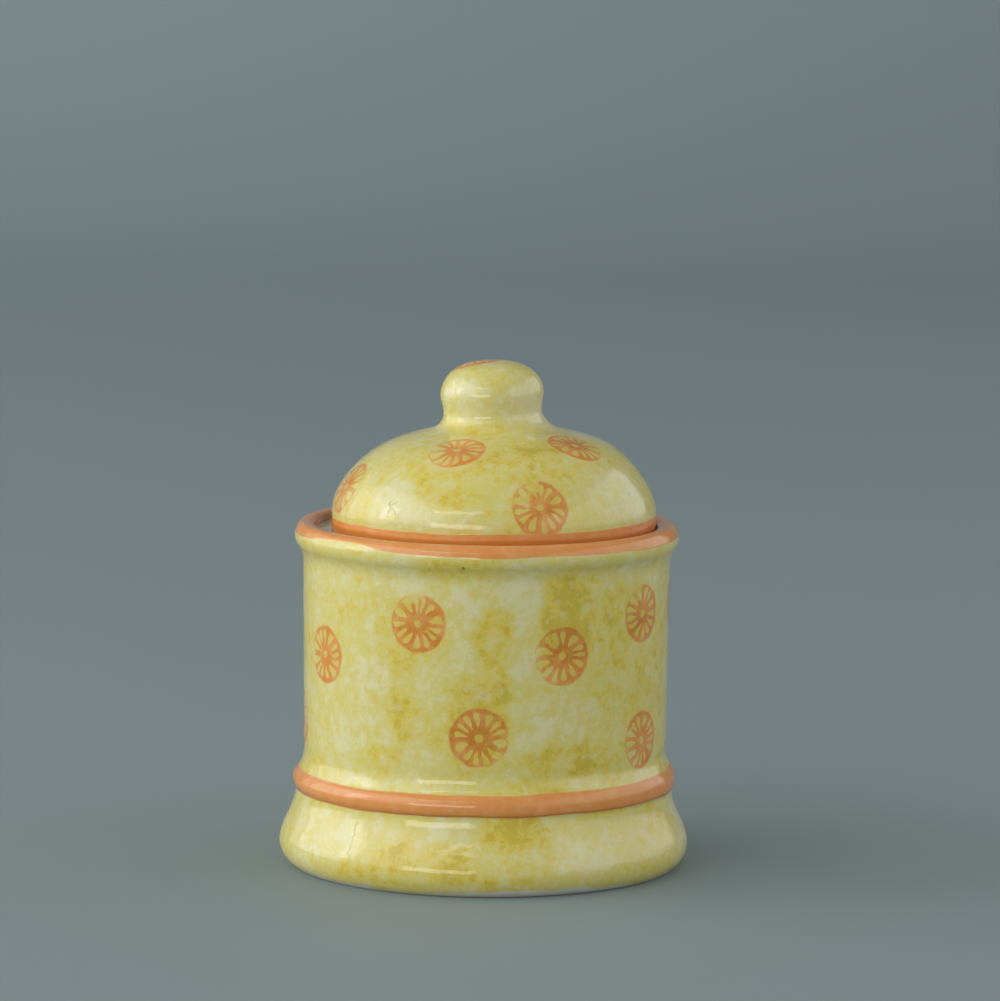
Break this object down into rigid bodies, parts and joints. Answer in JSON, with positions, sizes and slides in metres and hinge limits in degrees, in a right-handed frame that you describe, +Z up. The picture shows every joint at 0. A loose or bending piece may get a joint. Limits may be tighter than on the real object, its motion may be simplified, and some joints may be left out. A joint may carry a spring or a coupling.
{
  "type": "jam pot",
  "caption": "Lidded earthenware jam pot with a flared foot, ring bead, rolled lip and a domed lid with a round knob, glazed yellow with orange bands and citrus slice stamps.",
  "frame": {"origin": "centre of the foot, on the table", "axes": "+Z up through the knob, -Y to the front, +X to the right as seen from the front"},
  "size_m": [0.095, 0.095, 0.117],
  "materials": {
    "pot_glaze": "gloss",
    "lid_glaze": "gloss"
  },
  "bodies": {
    "root": {"pot": "pot_glaze", "lid": "lid_glaze"}
  },
  "joints": []
}
